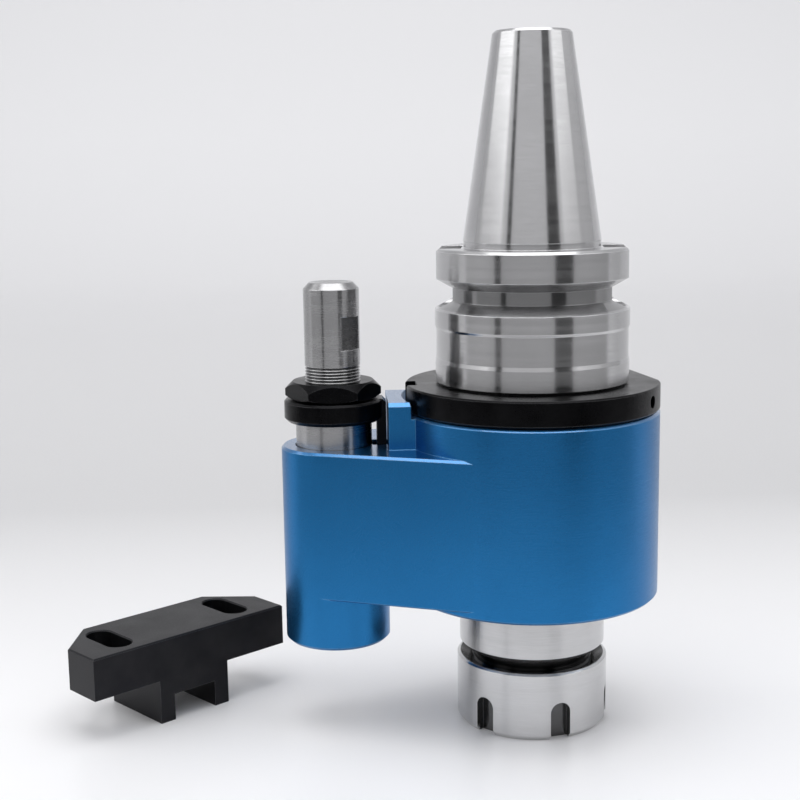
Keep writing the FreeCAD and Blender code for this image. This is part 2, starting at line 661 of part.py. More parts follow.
def coolant_port():
    r = PORT_D / 2
    bore = Part.makeCylinder(r, PORT_LENGTH, vec(PORT_X, 0, COOLANT_Z), ALONG_Y)
    face = Part.makeCylinder(PORT_FACE_D / 2, PORT_FACE_D, vec(PORT_X, PORT_LENGTH, COOLANT_Z), ALONG_Y)
    inner_x = -BEARING_OD / 2 + OVERRUN
    channel = Part.makeCylinder(PORT_CHANNEL_D / 2, inner_x - PORT_X, vec(PORT_X, r, COOLANT_Z), ALONG_X)
    return bore.fuse(face).fuse(channel)


def housing():
    body = housing_body()
    for cutter in (housing_bore(), pin_bore(), key_slot(), coolant_port()):
        body = body.cut(cutter)
    return body


def top_dirt_seal():
    inner = LIP_SHAFT_D / 2 + RUNNING_CLEARANCE
    outer = LIP_SHAFT_D / 2 + LIP_CLEARANCE + TOP_SEAL_DEPTH
    return ring(inner, outer, TOP_SEAL_Z, TOP_SEAL_Z + TOP_SEAL_H)


def seal_carrier():
    r = BEARING_OD / 2
    z0 = CARRIER_Z
    z1 = CARRIER_Z + CARRIER_H
    seal_r = SHAFT_SEAL_OD / 2
    seat = SHAFT_SEAL_H + SHAFT_SEAL_INSET
    body = ring(CHAMBER_D / 2, r, z0, z1)
    for seat_z in (z0, z1 - seat):
        body = body.cut(cylinder(seal_r, seat_z, seat_z + seat))
    body = body.cut(ring(r - CHANNEL_DEPTH, r, COOLANT_Z - CHANNEL_H / 2, COOLANT_Z + CHANNEL_H / 2))
    for z in o_ring_heights():
        body = body.cut(ring(r - O_RING_DEPTH, r, z - O_RING_W / 2, z + O_RING_W / 2))
    hole = radial_hole(COOLANT_HOLE_D / 2, 0, r, COOLANT_Z)
    return body.cut(Part.makeCompound(spun_copies(hole, CARRIER_HOLE_COUNT)))


def o_ring_heights():
    return (COOLANT_Z - O_RING_OFFSET, COOLANT_Z + O_RING_OFFSET)


def carrier_o_rings():
    r = BEARING_OD / 2
    return [ring(r - O_RING_DEPTH, r, z - O_RING_W / 2, z + O_RING_W / 2) for z in o_ring_heights()]


def shaft_seal(z):
    """Lip seal: a case with a thin lip that runs on the sleeve."""
    inner = SLEEVE_OD / 2 + RUNNING_CLEARANCE
    outer = SHAFT_SEAL_OD / 2
    wall = SHAFT_SEAL_WALL
    top = z + SHAFT_SEAL_H
    return turned([(inner, z), (inner + wall, z), (inner + wall, top - wall), (outer - wall, top - wall),
                   (outer - wall, z), (outer, z), (outer, top), (inner + wall, top),
                   (inner, z + SHAFT_SEAL_H / 2)])


def bottom_cap():
    groove_r = CAP_BORE / 2
    lip_r = groove_r - CAP_LIP
    cap_r = CAP_D / 2
    skirt_r = BEARING_OD / 2
    inner_r = skirt_r - CAP_SKIRT_T
    seal_top = DIRT_SEAL_Z + DIRT_SEAL_H
    body = turned([(lip_r, HOUSING_BOTTOM_Z), (cap_r, HOUSING_BOTTOM_Z), (cap_r, CAP_TOP_Z),
                   (skirt_r, CAP_TOP_Z), (skirt_r, LOWER_BEARING_Z), (inner_r, LOWER_BEARING_Z),
                   (inner_r, CAP_TOP_Z), (lip_r, CAP_TOP_Z), (lip_r, seal_top), (groove_r, seal_top),
                   (groove_r, DIRT_SEAL_Z), (lip_r, DIRT_SEAL_Z)])
    hole_top = HOUSING_BOTTOM_Z + CAP_HOLE_DEPTH
    hole = cylinder(CAP_HOLE_D / 2, HOUSING_BOTTOM_Z, hole_top, CAP_HOLE_PCD / 2)
    return body.cut(Part.makeCompound(spun_copies(hole, CAP_HOLES, CAP_HOLE_AZIMUTH)))


def bottom_dirt_seal():
    inner = NOSE_D / 2 + RUNNING_CLEARANCE
    return ring(inner, CAP_BORE / 2, DIRT_SEAL_Z, DIRT_SEAL_Z + DIRT_SEAL_H)


def guide_bush():
    return ring(PISTON_R + RUNNING_CLEARANCE, BUSH_R, BUSH_BOTTOM_Z, BUSH_TOP_Z, -ARM_CENTRES)


def boss_plug():
    body = cylinder(PLUG_D / 2, PLUG_BOTTOM_Z, PLUG_TOP_Z, -ARM_CENTRES)
    socket = hexagon(PLUG_SOCKET_AF, PLUG_BOTTOM_Z, PLUG_BOTTOM_Z + PLUG_SOCKET_DEPTH, -ARM_CENTRES)
    return body.cut(boss_plug_o_ring()).cut(socket)


def boss_plug_o_ring():
    top = PLUG_TOP_Z - O_RING_W
    return ring(PLUG_D / 2 - O_RING_DEPTH, PLUG_D / 2, top - O_RING_W, top, -ARM_CENTRES)


# Stop pin group

def stop_pin():
    r = PIN_D / 2
    thread_z = PIN_TOP_Z - PIN_THREAD_DROP
    groove_z = RETAINING_RING_Z + RETAINING_RING_H
    groove_r = PISTON_R - RETAINING_GROOVE_DEPTH
    seal_top, seal_bottom = pin_seal_heights()
    seal_r = PISTON_R - PIN_SEAL_DEPTH
    bore_r = SPRING_OD / 2 + SPRING_BORE_CLEARANCE
    outline = [(0, PIN_TOP_Z), (r - PIN_CHAMFER_R, PIN_TOP_Z), (r, PIN_TOP_Z - PIN_CHAMFER)]
    outline += thread_ridges(r, PIN_THREAD_DEPTH, PIN_THREAD_PITCH, thread_z, PIN_THREAD_RIDGES)
    outline += [(r, PISTON_TOP_Z), (PISTON_R, PISTON_TOP_Z), (PISTON_R, seal_top), (seal_r, seal_top),
                (seal_r, seal_bottom), (PISTON_R, seal_bottom), (PISTON_R, groove_z), (groove_r, groove_z),
                (groove_r, RETAINING_RING_Z), (PISTON_R, RETAINING_RING_Z), (PISTON_R, PIN_BOTTOM_Z),
                (bore_r, PIN_BOTTOM_Z), (bore_r, SPRING_TOP_Z), (0, SPRING_TOP_Z)]
    x = -ARM_CENTRES
    body = turned(outline, x)
    flats_top = PIN_TOP_Z - PIN_FLATS_DROP
    flat = block(x + PIN_FLATS / 2, x + PIN_D, -PIN_D, PIN_D, flats_top - PIN_FLATS_H, flats_top)
    for cutter in spun_copies(flat, 2, PIN_FLATS_AZIMUTH, x):
        body = body.cut(cutter)
    return body


def pin_seal_heights():
    mid = (BUSH_TOP_Z + BUSH_BOTTOM_Z) / 2
    return mid + PIN_SEAL_W / 2, mid - PIN_SEAL_W / 2


def pin_seal():
    z1, z0 = pin_seal_heights()
    return ring(PISTON_R - PIN_SEAL_DEPTH, PISTON_R, z0, z1, -ARM_CENTRES)


def pin_lock_nut():
    z0 = KEY_COLLAR_TOP_Z
    z1 = z0 + HEX_H
    foot = HEX_FOOT_CHAMFER
    head = HEX_TOP_CHAMFER
    r = HEX_AF / math.sqrt(3)
    x = -ARM_CENTRES
    prism = hexagon(HEX_AF, z0, z1, x, 0, HEX_AZIMUTH)
    rounding = turned([(0, z0), (r - 2 * foot, z0), (r, z0 + foot), (r, z1 - head),
                       (r - head, z1), (0, z1)], x)
    return prism.common(rounding).cut(cylinder(PIN_D / 2, z0, z1, x))


def key_collar():
    """Collar clamped on the pin, with a guide key that runs down into the arm."""
    r = KEY_COLLAR_D / 2
    c = KEY_COLLAR_CHAMFER
    z0 = PISTON_TOP_Z
    z1 = KEY_COLLAR_TOP_Z
    x = -ARM_CENTRES
    body = turned([(0, z0), (r - c, z0), (r, z0 + c), (r, z1 - c / 2), (r - c / 2, z1), (0, z1)], x)
    key_end = KEY_INNER + KEY_T
    half = KEY_W / 2
    side = [vec(x, -half, z0), vec(x + key_end, -half, z0), vec(x + key_end, -half, z1 - c),
            vec(x + key_end - c, -half, z1), vec(x, -half, z1)]
    lug = Part.Face(Part.makePolygon(side + side[:1])).extrude(vec(0, KEY_W, 0))
    key = block(x + KEY_INNER, x + key_end, -half, half, KEY_BOTTOM_Z, z1 - c)
    return body.fuse([lug, key]).removeSplitter().cut(cylinder(PIN_D / 2, z0, z1, x))


def pin_retaining_ring():
    inner = PISTON_R - RETAINING_GROOVE_DEPTH
    outer = PISTON_R + RETAINING_RING_RADIAL
    z0 = RETAINING_RING_Z
    z1 = z0 + RETAINING_RING_H
    half = RETAINING_RING_RADIAL
    gap = block(-ARM_CENTRES - PISTON_D, -ARM_CENTRES, -half, half, z0, z1)
    return ring(inner, outer, z0, z1, -ARM_CENTRES).cut(gap)


def pin_spring():
    wire_r = SPRING_WIRE_D / 2
    coil_r = SPRING_OD / 2 - wire_r
    height = SPRING_TOP_Z - PLUG_TOP_Z - SPRING_WIRE_D
    path = Part.makeHelix(height / SPRING_TURNS, height, coil_r)
    section = Part.Wire(Part.makeCircle(wire_r, vec(coil_r, 0, 0), ALONG_Y))
    wire = Part.Wire(path.Edges).makePipeShell([section], True, True)
    wire.translate(vec(-ARM_CENTRES, 0, PLUG_TOP_Z + wire_r))
    return wire


# Stop block

def stop_block():
    cut = BLOCK_CORNER_CUT
    height = BLOCK_STEM_H + BLOCK_T
    corners = [(0, 0), (BLOCK_L, 0), (BLOCK_L, BLOCK_W - cut), (BLOCK_L - cut, BLOCK_W),
               (cut, BLOCK_W), (0, BLOCK_W - cut)]
    plan = [vec(x, y, BLOCK_STEM_H) for x, y in corners]
    bar = Part.Face(Part.makePolygon(plan + plan[:1])).extrude(vec(0, 0, BLOCK_T))
    mid = BLOCK_L / 2
    stem_half = BLOCK_STEM_L / 2
    fork_half = BLOCK_FORK_W / 2
    stem = block(mid - stem_half, mid + stem_half, 0, BLOCK_W, 0, BLOCK_STEM_H)
    fork = block(mid - fork_half, mid + fork_half, 0, BLOCK_W, 0, BLOCK_FORK_H)
    body = bar.fuse(stem).removeSplitter()
    body = body.makeChamfer(BLOCK_CHAMFER, level_edges(body, height)).cut(fork)
    for side in (-1, 1):
        body = body.cut(screw_slot(mid + side * BLOCK_SLOT_SPACING / 2, height))
    body.rotate(vec(0, 0, 0), UP, BLOCK_ANGLE)
    body.translate(vec(BLOCK_CORNER_X, BLOCK_CORNER_Y, 0))
    return body


def screw_slot(x, height):
    """Long hole for a screw, with a small rim chamfer at its top."""
    r = BLOCK_SLOT_W / 2
    reach = BLOCK_SLOT_L / 2 - r
    y = BLOCK_SLOT_FROM_FRONT
    rim = BLOCK_SLOT_RIM
    half = [(0, BLOCK_STEM_H), (r, BLOCK_STEM_H), (r, height - rim), (r + rim, height), (0, height)]
    ends = [turned(half, x, end) for end in (y - reach, y + reach)]
    profile = [vec(x + side * d, y - reach, z) for side in (1, -1) for d, z in half[::side] if d]
    slot = Part.Face(Part.makePolygon(profile + profile[:1])).extrude(vec(0, 2 * reach, 0))
    return slot.fuse(ends)


save("taper_shank", taper_shank())
save("index_ring", index_ring())
save("ring_set_screws", *ring_set_screws())
for place, bearing_z in (("upper", UPPER_BEARING_Z), ("lower", LOWER_BEARING_Z)):
    save(f"{place}_bearing_inner_ring", bearing_inner_ring(bearing_z))
    save(f"{place}_bearing_outer_ring", bearing_outer_ring(bearing_z))
    save(f"{place}_bearing_cage", bearing_cage(bearing_z))
    save(f"{place}_bearing_balls", *spun_copies(bearing_ball(bearing_z), BALL_COUNT))
save("seal_sleeve", seal_sleeve())
save("bearing_lock_nut", bearing_lock_nut())
save("backup_screw", backup_screw())
save("collet", collet())
save("pressure_ring", pressure_ring())
save("collet_nut", collet_nut())
save("housing", housing())
save("top_dirt_seal", top_dirt_seal())
save("seal_carrier", seal_carrier())
save("carrier_o_rings", *carrier_o_rings())
save("lower_shaft_seal", shaft_seal(CARRIER_Z + SHAFT_SEAL_INSET))
save("upper_shaft_seal", shaft_seal(CARRIER_Z + CARRIER_H - SHAFT_SEAL_INSET - SHAFT_SEAL_H))
save("bottom_cap", bottom_cap())
save("bottom_dirt_seal", bottom_dirt_seal())
save("guide_bush", guide_bush())
save("boss_plug", boss_plug())
save("boss_plug_o_ring", boss_plug_o_ring())
save("stop_pin", stop_pin())
save("pin_seal", pin_seal())
save("pin_lock_nut", pin_lock_nut())
save("key_collar", key_collar())
save("pin_retaining_ring", pin_retaining_ring())
save("pin_spring", pin_spring())
save("stop_block", stop_block())
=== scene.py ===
import bpy
import math
from mathutils import Matrix, Vector


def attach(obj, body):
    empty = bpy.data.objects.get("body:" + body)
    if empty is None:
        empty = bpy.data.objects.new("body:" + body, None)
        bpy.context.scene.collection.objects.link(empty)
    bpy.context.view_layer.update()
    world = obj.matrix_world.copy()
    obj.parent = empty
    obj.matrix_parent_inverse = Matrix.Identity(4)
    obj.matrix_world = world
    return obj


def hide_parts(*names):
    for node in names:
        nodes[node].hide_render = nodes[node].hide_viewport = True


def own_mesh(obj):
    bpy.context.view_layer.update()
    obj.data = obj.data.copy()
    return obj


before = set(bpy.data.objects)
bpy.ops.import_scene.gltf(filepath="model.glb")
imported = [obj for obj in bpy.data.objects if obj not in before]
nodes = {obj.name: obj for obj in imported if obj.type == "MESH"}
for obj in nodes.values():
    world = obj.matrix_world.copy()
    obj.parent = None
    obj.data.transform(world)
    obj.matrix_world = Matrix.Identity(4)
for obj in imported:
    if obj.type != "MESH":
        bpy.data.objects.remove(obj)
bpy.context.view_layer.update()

MM = 0.001

# Axis of the stop pin
PIN_AXIS_X = -65.0 * MM

# Camera, fitted to the standard sizes of the taper, the flange and the nut
CAMERA_DISTANCE = 0.45265
CAMERA_HEIGHT = 0.18566
CAMERA_AZIMUTH = math.radians(8.103)
CAMERA_YAW = -0.09564
CAMERA_PITCH = 0.16970
CAMERA_ROLL = -0.01489
CAMERA_FOCAL_PX = 1393.69
PICTURE_PX = 800
SENSOR_MM = 36.0

# Most of a noise lies between the first two values, and its patches start at the third
NOISE_LOW = 0.3
NOISE_HIGH = 0.7
PATCH_LOW = 0.35

# Scales of the noises, in waves per metre
STEEL_STAIN_SCALE = 45.0
MILLED_GRAIN_SCALE = 2600.0
MILLED_STAIN_SCALE = 60.0
OXIDE_GRAIN_SCALE = 3200.0
OXIDE_CLOUD_SCALE = 90.0
BLUE_GRAIN_SCALE = 5200.0
BLUE_CLOUD_SCALE = 28.0
WARM_LINE_SCALE = 4200.0
WARM_STAIN_SCALE = 120.0
RUBBER_GRAIN_SCALE = 4000.0
RUBBER_CLOUD_SCALE = 150.0
FLOOR_SPECK_SCALE = 700.0
CARD_SPECK_SCALE = 300.0

# Way through the noise in one radian round the axis, in m, so small that it shows as lines
LINE_DRIFT = 0.0006

# Scale of the broad lines as a share of the fine ones
BROAD_LINE_SHARE = 0.09

# Range of a noise, and what it becomes: colour of fine lines, gloss of broad lines, gaps in worn edges
LINE_CONTRAST = (0.35, 0.65, 0.0, 0.3)
BROAD_LINE_GLOSS = (0.4, 0.6, -0.02, 0.02)
SCUFFS = (0.35, 0.6, 0.4, 1.0)

# Radius of the rounding of sharp edges
STEEL_EDGE = 0.25 * MM
MILLED_EDGE = 0.2 * MM
OXIDE_EDGE = 0.3 * MM
BLUE_EDGE = 0.35 * MM
SMALL_EDGE = 0.15 * MM
EDGE_SAMPLES = 6

# Cosine between the rounded normal and the face's own where wear, and on the housing a painted highlight,
# starts and where it is full
WEAR_AND_HIGHLIGHT_STARTS = 0.995
WEAR_AND_HIGHLIGHT_FULL = 0.9

# Depth of the surface relief
TURNED_DEPTH = 0.01 * MM
MILLED_DEPTH = 0.02 * MM
OXIDE_DEPTH = 0.03 * MM
BLUE_GRAIN_DEPTH = 0.03 * MM
BLUE_LINE_DEPTH = 0.02 * MM
WARM_DEPTH = 0.02 * MM
RUBBER_DEPTH = 0.04 * MM

# Tones of the greys
COLD_TINT = 1.01
STAINED_SHARE = 0.9
LINED_SHARE = 0.75
MILLED_STAINED_SHARE = 0.8
STEEL_WORN_TONE = 0.86
MILLED_WORN_TONE = 0.8
# Tone of the painted shade in the hollows of the steel
PAINTED_SHADE_TONE = 0.04
RUBBER_TONES = (0.012, 0.028)
CARD_TONE = 0.02

# Colours of the anodised housing, its edge colour and share for wear with a painted highlight, and the
# gloss of its upward faces
BLUE_FIRST = (0.018, 0.162, 0.400, 1)
BLUE_SECOND = (0.020, 0.174, 0.425, 1)
BLUE_WORN_AND_HIGHLIGHT = (0.20, 0.45, 0.70, 1)
BLUE_WEAR_AND_HIGHLIGHT = 0.7
SEAL_STARTS = 0.3
SEAL_FULL = 0.6
SEAL_MOST = 0.8

# Hollows with painted shade: radius that they lie within, lowest and highest level, in mm, and shade
# Of the shank: the thread relief above the nut, then the gripper groove and its floor
SHANK_PAINTED_SHADE = [(23.0, 0.0, 25.4, 1.0), (30.6, 137.0, 149.6, 0.3), (26.8, 138.0, 149.0, 0.5)]
# Of the nut: its slots above and beside its chamfer, then the funnel on top
NUT_PAINTED_SHADE = [(24.5, 2.4, 12.6, 0.86), (23.5, 0.0, 2.4, 0.86), (24.1, 18.0, 22.45, 1.0)]
# Of the pin: its flats, then the grooves of its thread
PIN_PAINTED_SHADE = [(8.72, 125.0, 145.6, 0.55), (8.8, 0.0, 121.5, 0.8)]

# Floor that bends up into a backdrop, in m
FLOOR_FRONT_Y = -3.0
FLOOR_BACK_Y = 1.5
FLOOR_HALF_WIDTH = 4.0
BEND_RADIUS = 0.9
BEND_STEPS = 24
BACKDROP_TOP = 5.0

# Tone of floor and backdrop, painted light and shade: over which distance in m it changes, from what and
# to what
DIM_NEAR = (0.2, 0.34, 0.0, -0.48)
DIM_FAR = (0.36, 0.9, 0.0, -0.18)
IN_FRONT = (0.08, -0.04, 0.0, 1.0)
TONE_BEHIND = (0.02, 0.3, 0.88, 0.56)
TONE_FAR_BEHIND = (0.35, 1.1, 0.0, 0.14)
TONE_BACKDROP = (1.1, 2.1, 0.0, 0.26)

# Dark cards off camera, in m: each has a bearing from the viewer's side in degrees, and a width
CARD_DISTANCE = 0.35
CARD_LOW = 0.04
CARD_HIGH = 0.42
CARDS = {"card_left": (-38, 0.045), "card_right": (36, 0.13)}

# Lamps: place, point aimed at, width and height in m, power in W
PART_MIDDLE = (0, 0, 0.1)
LAMPS = {
    "key": ((-1.2, -0.1, 0.9), PART_MIDDLE, 1.2, 0.8, 4.0),
    "fill": ((1.1, -0.5, 0.9), PART_MIDDLE, 0.9, 0.8, 2.0),
    "top": ((0.0, -0.1, 1.3), PART_MIDDLE, 1.2, 0.9, 7.5),
    "backdrop": ((0.0, 1.0, 1.6), (0, 2.4, 0.4), 1.5, 1.5, 2.5),
}

# Room: its colour, and over which height above the horizon its strength changes, from what and to what
ROOM_COLOUR = (0.98, 0.98, 1.0, 1)
ROOM_STRENGTH = (0.05, 0.3, 0.45, 0.80)


# Node helpers

def add(tree, kind, **settings):
    node = tree.nodes.new(kind)
    for key, value in settings.items():
        setattr(node, key, value)
    return node


def wire(tree, source, target):
    tree.links.new(source, target)


def fill(tree, socket, value):
    """Joins a socket to an output, or gives it a constant."""
    if isinstance(value, bpy.types.NodeSocket):
        wire(tree, value, socket)
    else:
        socket.default_value = value


def maths(tree, operation, a, b=0.0):
    node = add(tree, "ShaderNodeMath", operation=operation)
    fill(tree, node.inputs[0], a)
    fill(tree, node.inputs[1], b)
    return node.outputs[0]


def ramp(tree, value, low, high, to_low, to_high):
    """Takes the range from low to high to another range, and holds it at both ends."""
    node = add(tree, "ShaderNodeMapRange", clamp=True)
    for socket, item in zip(node.inputs, (value, low, high, to_low, to_high)):
        fill(tree, socket, item)
    return node.outputs[0]


def spread(tree, value, to_low, to_high):
    """Takes the usual range of a noise to another range."""
    return ramp(tree, value, NOISE_LOW, NOISE_HIGH, to_low, to_high)


def blend_colour(tree, factor, first, second):
    """Mixes two colours: sockets 6 and 7 and output 2 are the node's colour ones."""
    node = add(tree, "ShaderNodeMix", data_type="RGBA")
    fill(tree, node.inputs["Factor"], factor)
    fill(tree, node.inputs[6], first)
    fill(tree, node.inputs[7], second)
    return node.outputs[2]


def patches(tree, value, first, second):
    """Two colours in soft patches that follow a noise."""
    return blend_colour(tree, ramp(tree, value, PATCH_LOW, NOISE_HIGH, 0.0, 1.0), first, second)


def noise(tree, vector, scale, detail=3.0, roughness=0.55):
    node = add(tree, "ShaderNodeTexNoise")
    fill(tree, node.inputs["Vector"], vector)
    fill(tree, node.inputs["Scale"], scale)
    fill(tree, node.inputs["Detail"], detail)
    fill(tree, node.inputs["Roughness"], roughness)
    return node.outputs["Fac"]


def place(tree):
    return add(tree, "ShaderNodeTexCoord").outputs["Object"]


def axis_offsets(tree, axis_x):
    """Place measured from a vertical axis."""
    split = add(tree, "ShaderNodeSeparateXYZ")
    wire(tree, place(tree), split.inputs[0])
    return maths(tree, "SUBTRACT", split.outputs[0], axis_x), split.outputs[1], split.outputs[2]


def axis_radius(tree, x, y):
    squares = maths(tree, "ADD", maths(tree, "MULTIPLY", x, x), maths(tree, "MULTIPLY", y, y))
    return maths(tree, "SQRT", squares)


def painted_shade_mask(tree, axis_x, hollows):
    """Painted shade of the places that lie within a radius and between two levels, in mm."""
    x, y, z = axis_offsets(tree, axis_x)
    radius = axis_radius(tree, x, y)
    total = 0.0
    for rim, low, high, shade in hollows:
        deep = maths(tree, "LESS_THAN", radius, rim * MM)
        above = maths(tree, "GREATER_THAN", z, low * MM)
        below = maths(tree, "LESS_THAN", z, high * MM)
        inside = maths(tree, "MULTIPLY", deep, maths(tree, "MULTIPLY", above, below))
        total = maths(tree, "MAXIMUM", total, maths(tree, "MULTIPLY", inside, shade))
    return total


def lathe_space(tree, axis_x):
    """Vector whose noise makes lines around a vertical axis, and the direction of those lines."""
    x, y, z = axis_offsets(tree, axis_x)
    turn = maths(tree, "ARCTAN2", y, x)
    lines = add(tree, "ShaderNodeCombineXYZ")
    fill(tree, lines.inputs[0], maths(tree, "MULTIPLY", turn, LINE_DRIFT))
    fill(tree, lines.inputs[1], axis_radius(tree, x, y))
    fill(tree, lines.inputs[2], z)
    along = add(tree, "ShaderNodeCombineXYZ")
    fill(tree, along.inputs[0], maths(tree, "MULTIPLY", y, -1.0))
    fill(tree, along.inputs[1], x)
    world = add(tree, "ShaderNodeVectorTransform", vector_type="VECTOR", convert_from="OBJECT",
                convert_to="WORLD")
    wire(tree, along.outputs[0], world.inputs[0])
    unit = add(tree, "ShaderNodeVectorMath", operation="NORMALIZE")
    wire(tree, world.outputs[0], unit.inputs[0])
    return lines.outputs[0], unit.outputs[0]


def rounded_normal(tree, radius):
    """Normal rounded over sharp edges."""
    bevel = add(tree, "ShaderNodeBevel", samples=EDGE_SAMPLES)
    fill(tree, bevel.inputs["Radius"], radius)
    return bevel.outputs[0]


def edge_wear_and_highlight(tree, normal):
    """Mask for wear, and on the housing a painted highlight, that is 1 where the rounded normal leaves the
    face's own.
    """
    dot = add(tree, "ShaderNodeVectorMath", operation="DOT_PRODUCT")
    wire(tree, normal, dot.inputs[0])
    wire(tree, add(tree, "ShaderNodeNewGeometry").outputs["Normal"], dot.inputs[1])
    return ramp(tree, dot.outputs["Value"], WEAR_AND_HIGHLIGHT_STARTS, WEAR_AND_HIGHLIGHT_FULL, 0.0, 1.0)


def bump(tree, height, strength, distance, normal):
    node = add(tree, "ShaderNodeBump")
    fill(tree, node.inputs["Strength"], strength)
    fill(tree, node.inputs["Distance"], distance)
    fill(tree, node.inputs["Height"], height)
    fill(tree, node.inputs["Normal"], normal)
    return node.outputs[0]


def start(name):
    material = bpy.data.materials.new(name)
    material.use_nodes = True
    return material, material.node_tree, material.node_tree.nodes["Principled BSDF"]


def finish_surface(tree, shader, **inputs):
    """Fills the shader's inputs, named with _ for a space."""
    for key, value in inputs.items():
        fill(tree, shader.inputs[key.replace("_", " ")], value)


def new_object(name, data):
    thing = bpy.data.objects.new(name, data)
    bpy.context.scene.collection.objects.link(thing)
    return thing


# Materials

def grey(tone, tint=COLD_TINT):
    """Grey with a little blue in it."""
    return (tone, tone, tone * tint, 1)


def turned_steel(name, tone, rough, line_scale, axis_x=0.0, hollows=()):
    """Steel with fine lathe lines round its axis, faint stains, painted shade in its hollows and bright
    worn edges.
    """
    material, tree, shader = start(name)
    lines, along = lathe_space(tree, axis_x)
    fine = noise(tree, lines, line_scale, detail=4.0, roughness=0.7)
    broad = noise(tree, lines, line_scale * BROAD_LINE_SHARE, detail=2.0)
    stain = noise(tree, place(tree), STEEL_STAIN_SCALE, detail=4.0)
    normal = rounded_normal(tree, STEEL_EDGE)
    body = patches(tree, stain, grey(tone), grey(tone * STAINED_SHARE))
    lined = blend_colour(tree, ramp(tree, fine, *LINE_CONTRAST), body, grey(tone * LINED_SHARE))
    bright = blend_colour(tree, edge_wear_and_highlight(tree, normal), lined, grey(STEEL_WORN_TONE))
    # Painted shade in the hollows of the steel
    colour = blend_colour(tree, painted_shade_mask(tree, axis_x, hollows), bright, grey(PAINTED_SHADE_TONE))
    roughness = maths(tree, "ADD", spread(tree, fine, *rough), ramp(tree, broad, *BROAD_LINE_GLOSS))
    finish_surface(tree, shader, Base_Color=colour, Metallic=1.0, Roughness=roughness, Anisotropic=0.9,
                   Anisotropic_Rotation=0.25, Tangent=along,
                   Normal=bump(tree, fine, 0.12, TURNED_DEPTH, normal))
    return material


def milled_steel(name, tone, rough):
    """Steel with straight cutter marks, for small bright pieces."""
    material, tree, shader = start(name)
    grain = noise(tree, place(tree), MILLED_GRAIN_SCALE, detail=4.0, roughness=0.7)
    stain = noise(tree, place(tree), MILLED_STAIN_SCALE)
    normal = rounded_normal(tree, MILLED_EDGE)
    body = patches(tree, stain, grey(tone), grey(tone * MILLED_STAINED_SHARE))
    colour = blend_colour(tree, edge_wear_and_highlight(tree, normal), body, grey(MILLED_WORN_TONE))
    finish_surface(tree, shader, Base_Color=colour, Metallic=1.0, Roughness=spread(tree, grain, *rough),
                   Normal=bump(tree, grain, 0.2, MILLED_DEPTH, normal))
    return material


def black_oxide(name, tones, edge_tone, specular, rough):
    """Blued steel: nearly black, a little uneven, with thin paler edges."""
    material, tree, shader = start(name)
    fine = noise(tree, place(tree), OXIDE_GRAIN_SCALE, detail=4.0, roughness=0.65)
    cloud = noise(tree, place(tree), OXIDE_CLOUD_SCALE, detail=4.0)
    normal = rounded_normal(tree, OXIDE_EDGE)
    body = patches(tree, cloud, grey(tones[0], 1.2), grey(tones[1], 1.1))
    scuffed = maths(tree, "MULTIPLY", edge_wear_and_highlight(tree, normal), ramp(tree, fine, *SCUFFS))
    colour = blend_colour(tree, scuffed, body, grey(edge_tone, 1.05))
    roughness = maths(tree, "ADD", spread(tree, cloud, *rough), spread(tree, fine, -0.04, 0.06))
    finish_surface(tree, shader, Base_Color=colour, Metallic=0.85, Roughness=roughness,
                   Specular_IOR_Level=specular, Normal=bump(tree, fine, 0.3, OXIDE_DEPTH, normal))
    return material


def blue_anodised(name):
    """Satin blue anodising over fine machined lines, lighter on its edges with wear and a painted
    highlight, glossy on top.
    """
    material, tree, shader = start(name)
    lines, along = lathe_space(tree, 0.0)
    blast = noise(tree, place(tree), BLUE_GRAIN_SCALE, roughness=0.6)
    machined = noise(tree, lines, BLUE_GRAIN_SCALE, roughness=0.6)
    cloud = noise(tree, place(tree), BLUE_CLOUD_SCALE)
    normal = rounded_normal(tree, BLUE_EDGE)
    # Edges lighter with wear and a painted highlight
    worn = maths(tree, "MULTIPLY", edge_wear_and_highlight(tree, normal), BLUE_WEAR_AND_HIGHLIGHT)
    colour = blend_colour(tree, worn, patches(tree, cloud, BLUE_FIRST, BLUE_SECOND), BLUE_WORN_AND_HIGHLIGHT)
    roughness = maths(tree, "ADD", spread(tree, machined, 0.26, 0.29), spread(tree, blast, -0.02, 0.04))
    facing = add(tree, "ShaderNodeSeparateXYZ")
    wire(tree, add(tree, "ShaderNodeNewGeometry").outputs["True Normal"], facing.inputs[0])
    sealed = ramp(tree, facing.outputs[2], SEAL_STARTS, SEAL_FULL, 0.0, SEAL_MOST)
    lined = bump(tree, machined, 0.04, BLUE_LINE_DEPTH, normal)
    finish_surface(tree, shader, Base_Color=colour, Metallic=0.9, Roughness=roughness, Anisotropic=0.25,
                   Tangent=along, Normal=bump(tree, blast, 0.12, BLUE_GRAIN_DEPTH, lined),
                   Coat_Weight=sealed, Coat_IOR=1.7, Coat_Roughness=0.1)
    return material


def warm_metal(name, light, dark, axis_x=0.0):
    """Turned brass or bronze with faint stains."""
    material, tree, shader = start(name)
    lines, along = lathe_space(tree, axis_x)
    fine = noise(tree, lines, WARM_LINE_SCALE, detail=4.0, roughness=0.7)
    stain = noise(tree, place(tree), WARM_STAIN_SCALE)
    normal = rounded_normal(tree, SMALL_EDGE)
    finish_surface(tree, shader, Base_Color=patches(tree, stain, light, dark), Metallic=1.0,
                   Roughness=spread(tree, fine, 0.2, 0.34), Anisotropic=0.4, Tangent=along,
                   Normal=bump(tree, fine, 0.2, WARM_DEPTH, normal))
    return material


